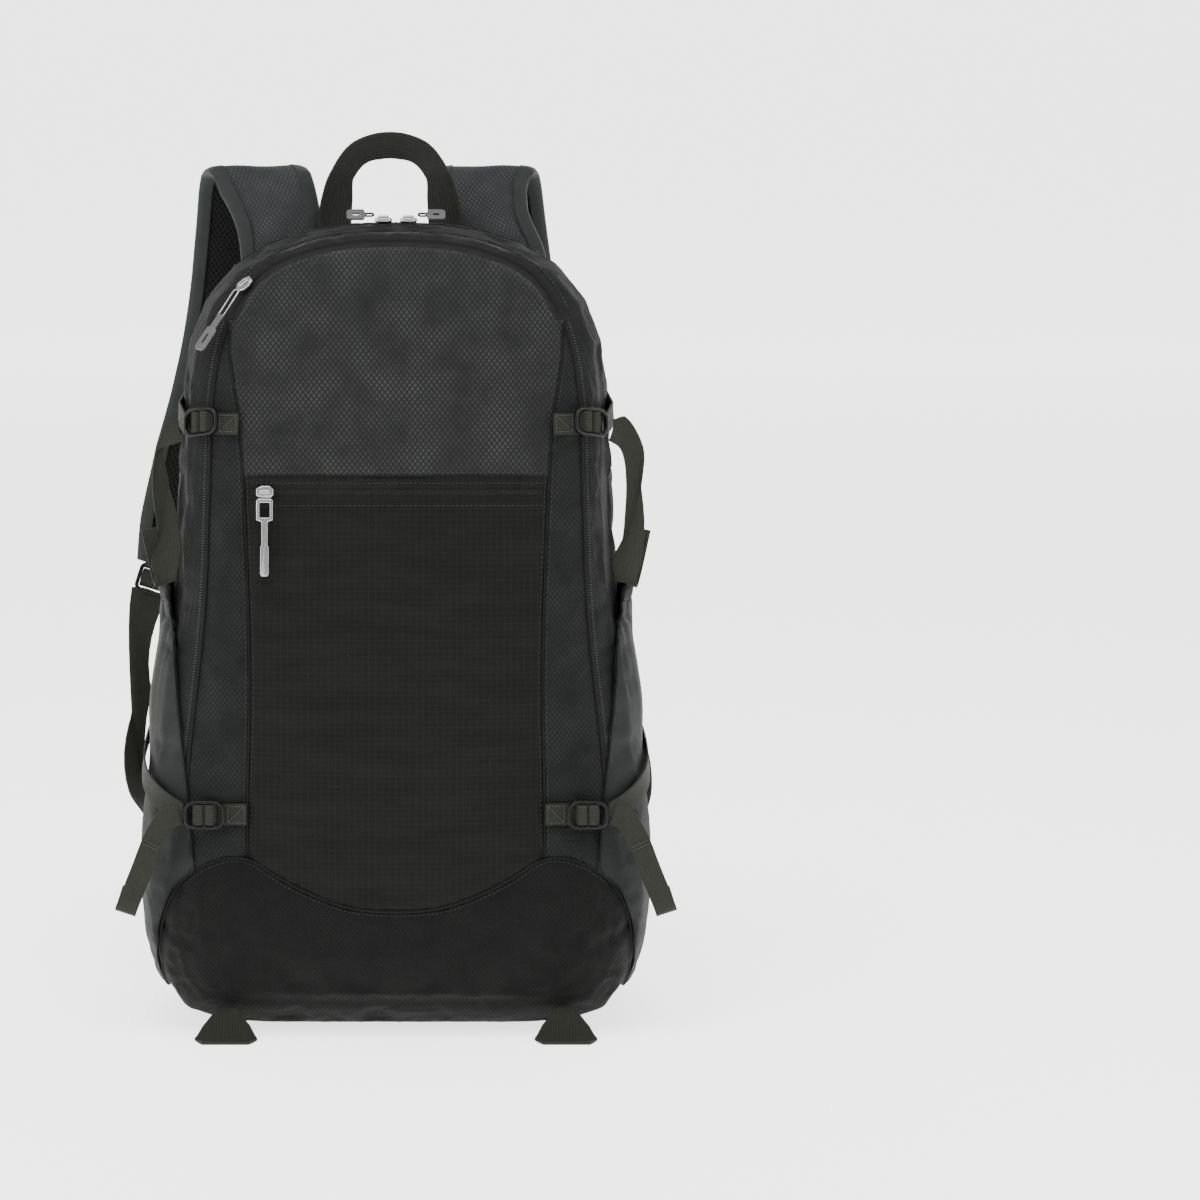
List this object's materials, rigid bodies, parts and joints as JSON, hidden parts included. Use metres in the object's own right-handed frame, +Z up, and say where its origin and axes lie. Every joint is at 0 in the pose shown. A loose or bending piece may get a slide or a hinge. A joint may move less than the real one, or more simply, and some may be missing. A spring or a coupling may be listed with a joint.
{
  "type": "packable backpack",
  "caption": "Soft packable backpack standing full: hollow shell, zips, side pockets, padded shoulder straps, haul loop and side compression straps with buckles",
  "frame": {"origin": "Middle of the flat base on the floor, on the bag's mid plane", "axes": "+X to the right seen from the front, +Y towards the wearer's side, +Z up"},
  "size_m": [0.3584, 0.2418, 0.5676],
  "materials": {
    "diamond_cloth": "nylon with a raised diamond ripstop grid, dull",
    "ripstop_cloth": "fine plain ripstop nylon, slight sheen",
    "base_cloth": "coated diamond ripstop, dull",
    "stretch_cloth": "stretch woven cloth with gathered top",
    "pad_cloth": "plain weave over foam, mesh on the wearer's side",
    "webbing": "ribbed polyester webbing, dull",
    "zip_tape": "coated zip tape over a coil",
    "black_plastic": "moulded, satin",
    "grey_plastic": "soft moulded tab, satin",
    "silver_metal": "plated, bright with soft edges"
  },
  "bodies": {
    "root": {"upper_panel": "diamond_cloth", "pocket_zip": "zip_tape", "pocket_panel": "ripstop_cloth", "side_strip_left": "diamond_cloth", "side_strip_right": "diamond_cloth", "front_zip": "zip_tape", "front_gusset": "diamond_cloth", "main_zip": "zip_tape", "rear_gusset": "diamond_cloth", "back_panel": "pad_cloth", "bottom_panel": "base_cloth", "side_pocket_right": "stretch_cloth", "side_pocket_left": "stretch_cloth", "shoulder_strap_left": "pad_cloth", "shoulder_strap_right": "pad_cloth", "strap_buckle_left": "black_plastic", "strap_buckle_right": "black_plastic", "strap_webbing_left": "webbing", "strap_webbing_right": "webbing", "haul_loop": "webbing", "upper_left_tab": "webbing", "upper_left_buckle": "black_plastic", "upper_left_strap": "webbing", "upper_left_tail": "webbing", "upper_right_tab": "webbing", "upper_right_buckle": "black_plastic", "upper_right_strap": "webbing", "upper_right_tail": "webbing", "lower_left_tab": "webbing", "lower_left_buckle": "black_plastic", "lower_left_strap": "webbing", "lower_left_tail": "webbing", "lower_right_tab": "webbing", "lower_right_buckle": "black_plastic", "lower_right_strap": "webbing", "lower_right_tail": "webbing", "foot_tab_left": "webbing", "foot_tab_right": "webbing", "pocket_slider": "silver_metal", "corner_slider": "silver_metal", "top_slider_left": "silver_metal", "top_slider_right": "silver_metal"},
    "pocket_puller": {"pocket_pull": "silver_metal"},
    "corner_puller": {"corner_pull": "grey_plastic"},
    "top_puller_left": {"top_pull_left": "grey_plastic"},
    "top_puller_right": {"top_pull_right": "grey_plastic"}
  },
  "joints": [
    {"name": "pocket_pull_swing", "type": "hinge", "parent": "root", "child": "pocket_puller", "pos_m": [-0.08162, -0.06895, 0.34251], "axis": [-1, 0.0036, -0.0004], "range_deg": [0, 150]},
    {"name": "corner_pull_swing", "type": "hinge", "parent": "root", "child": "corner_puller", "pos_m": [-0.09914, -0.02943, 0.47074], "axis": [-0.719, 0.6695, 0.1866], "range_deg": [0, 140]},
    {"name": "top_pull_swing_left", "type": "hinge", "parent": "root", "child": "top_puller_left", "pos_m": [-0.0137, 0.02804, 0.5154], "axis": [0, 0.8192, 0.5736], "range_deg": [0, 95]},
    {"name": "top_pull_swing_right", "type": "hinge", "parent": "root", "child": "top_puller_right", "pos_m": [0.0137, 0.02804, 0.5154], "axis": [0, -0.8192, -0.5736], "range_deg": [0, 95]}
  ]
}
